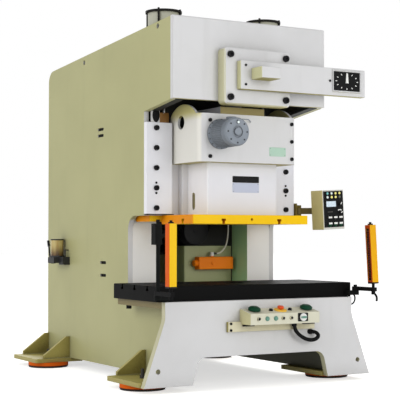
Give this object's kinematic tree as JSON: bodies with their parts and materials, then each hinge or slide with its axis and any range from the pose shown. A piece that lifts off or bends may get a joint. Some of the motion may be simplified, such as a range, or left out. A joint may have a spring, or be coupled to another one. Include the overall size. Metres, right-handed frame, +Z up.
{
  "type": "gap-frame stamping press",
  "caption": "Gap-frame mechanical stamping press with a black bolster, yellow slide plate, front crank housing, swinging light guards and operator panel.",
  "frame": {"origin": "on the floor, at the middle of the ground that the press covers", "axes": "+Z up, +Y towards the back of the press, +X to the right of someone who faces its front"},
  "size_m": [1.966, 2.7, 2.841],
  "materials": {
    "beige_paint": "satin olive-beige paint",
    "white_paint": "satin off-white paint",
    "inside_paint": "matt primer paint",
    "black_steel": "blackened steel",
    "orange_rubber": "moulded rubber",
    "stud_steel": "blackened steel",
    "bronze": "machined bronze",
    "bolt_steel": "blackened steel",
    "box_paint": "satin cream paint",
    "dial_black": "black face with white marks",
    "motor_paint": "grey paint",
    "cylinder_paint": "grey-beige paint",
    "cap_black": "black paint",
    "tank_paint": "green-beige paint",
    "orange_paint": "orange paint",
    "hose_white": "white hose",
    "cast_black": "black cast iron",
    "amber_jar": "amber see-through plastic",
    "rail_paint": "cream paint",
    "conduit_black": "black flexible conduit",
    "gland_black": "black plastic",
    "belt_rubber": "black rubber",
    "bracket_black": "black paint",
    "yellow_paint": "yellow paint",
    "drive_grey": "grey cast aluminium",
    "rod_chrome": "hard chrome",
    "forged_steel": "machined forging",
    "gear_steel": "machined steel",
    "rod_iron": "cast iron",
    "wheel_iron": "cast iron",
    "pointer_white": "white plastic",
    "palm_green": "dark green plastic",
    "stop_red": "red plastic",
    "selector_white": "white plastic",
    "lever_black": "black steel",
    "arm_olive": "olive paint",
    "panel_black": "black face",
    "arm_black": "black paint"
  },
  "bodies": {
    "frame": {"left_side_plate": "beige_paint", "right_side_plate": "beige_paint", "head_front_plate": "white_paint", "roof_plate": "beige_paint", "rear_cover": "beige_paint", "inner_plates": "inside_paint", "column_plates": "white_paint", "bed_front_plate": "white_paint", "bed_top_plate": "white_paint", "bolster_plate": "black_steel", "foot_brackets": "beige_paint", "isolator_pads": "orange_rubber", "isolator_bases": "stud_steel", "gib_plates": "white_paint", "guide_liners": "bronze", "frame_bolts": "bolt_steel", "bearing_flange": "white_paint", "cam_box": "box_paint", "dial_plate": "dial_black", "shaft_bushes": "bronze", "drive_motor": "motor_paint", "balance_cylinders": "cylinder_paint", "cylinder_caps": "cap_black", "oil_tank": "tank_paint", "overload_pump": "orange_paint", "pump_hose": "hose_white", "lubricator_base": "cast_black", "lubricator_jar": "amber_jar", "palm_station_box": "box_paint", "station_rail": "rail_paint", "station_conduit": "conduit_black", "conduit_glands": "gland_black", "drive_belts": "belt_rubber", "arm_brackets": "bracket_black"},
    "slide": {"slide_body": "white_paint", "slide_cover": "white_paint", "slide_plate": "yellow_paint", "adjusting_drive": "drive_grey", "slide_bolts": "bolt_steel", "balance_rods": "rod_chrome"},
    "crank": {"crankshaft": "forged_steel", "main_gear": "gear_steel"},
    "rod": {"connecting_rod": "rod_iron", "adjusting_screw": "forged_steel"},
    "flywheel_shaft": {"flywheel": "wheel_iron", "pinion_shaft": "gear_steel"},
    "motor_shaft": {"motor_pulley": "wheel_iron"},
    "pointer": {"dial_pointer": "pointer_white"},
    "left_palm": {"left_palm_button": "palm_green"},
    "right_palm": {"right_palm_button": "palm_green"},
    "e_stop": {"e_stop_button": "stop_red"},
    "selector": {"station_selector": "selector_white"},
    "lever": {"lubricator_lever": "lever_black"},
    "panel": {"panel_box": "box_paint", "panel_arm": "arm_olive", "panel_face": "panel_black"},
    "left_curtain": {"left_curtain_arm": "arm_black", "left_curtain_post": "yellow_paint"},
    "right_curtain": {"right_curtain_arm": "arm_black", "right_curtain_post": "yellow_paint"}
  },
  "joints": [
    {"name": "slide_stroke", "type": "slide", "parent": "frame", "child": "slide", "axis": [0, 0, 1], "range_m": [-0.16, 0]},
    {"name": "crank_turn", "type": "hinge", "parent": "frame", "child": "crank", "pos_m": [0, -0.72, 2.278], "axis": [0, 1, 0], "continuous": true},
    {"name": "conrod_turn", "type": "hinge", "parent": "crank", "child": "rod", "pos_m": [0, -0.72, 2.358], "axis": [0, 1, 0], "continuous": true},
    {"name": "flywheel_turn", "type": "hinge", "parent": "frame", "child": "flywheel_shaft", "pos_m": [0.19, -0.72, 1.94891], "axis": [0, 1, 0], "continuous": true},
    {"name": "motor_turn", "type": "hinge", "parent": "frame", "child": "motor_shaft", "pos_m": [0.19, -0.72, 1.14891], "axis": [0, 1, 0], "continuous": true},
    {"name": "pointer_turn", "type": "hinge", "parent": "frame", "child": "pointer", "pos_m": [0.774, -1.12, 2.293], "axis": [0, 1, 0], "continuous": true},
    {"name": "left_palm_press", "type": "slide", "parent": "frame", "child": "left_palm", "axis": [0, 0.2095, -0.9778], "range_m": [0, 0.006], "stiffness_N_per_m": 3000, "springref_m": -0.004},
    {"name": "right_palm_press", "type": "slide", "parent": "frame", "child": "right_palm", "axis": [0, 0.2095, -0.9778], "range_m": [0, 0.006], "stiffness_N_per_m": 3000, "springref_m": -0.004},
    {"name": "e_stop_press", "type": "slide", "parent": "frame", "child": "e_stop", "axis": [0, 0.2095, -0.9778], "range_m": [0, 0.006], "stiffness_N_per_m": 3000, "springref_m": -0.004},
    {"name": "selector_turn", "type": "hinge", "parent": "frame", "child": "selector", "pos_m": [0.255, -1.273, 0.51], "axis": [0, -1, 0], "range_deg": [-45, 45]},
    {"name": "lubricator_lever_pull", "type": "hinge", "parent": "frame", "child": "lever", "pos_m": [-0.752, 1.077, 0.888], "axis": [-1, 0, 0], "range_deg": [0, 60]},
    {"name": "panel_swing", "type": "hinge", "parent": "frame", "child": "panel", "pos_m": [0.724, -0.538, 1.306], "axis": [0, 0, 1], "range_deg": [-30, 90]},
    {"name": "left_curtain_swing", "type": "hinge", "parent": "frame", "child": "left_curtain", "pos_m": [-0.86, -1.109, 0.7], "axis": [0, 0, 1], "range_deg": [-90, 0]},
    {"name": "right_curtain_swing", "type": "hinge", "parent": "frame", "child": "right_curtain", "pos_m": [0.86, -1.109, 0.7], "axis": [0, 0, 1], "range_deg": [0, 90]}
  ],
  "couplings": [
    {"joint": "conrod_turn", "follows": "crank_turn", "ratio": -1},
    {"joint": "flywheel_turn", "follows": "crank_turn", "ratio": -3.75},
    {"joint": "motor_turn", "follows": "crank_turn", "ratio": -13.578},
    {"joint": "pointer_turn", "follows": "crank_turn", "ratio": 1}
  ]
}
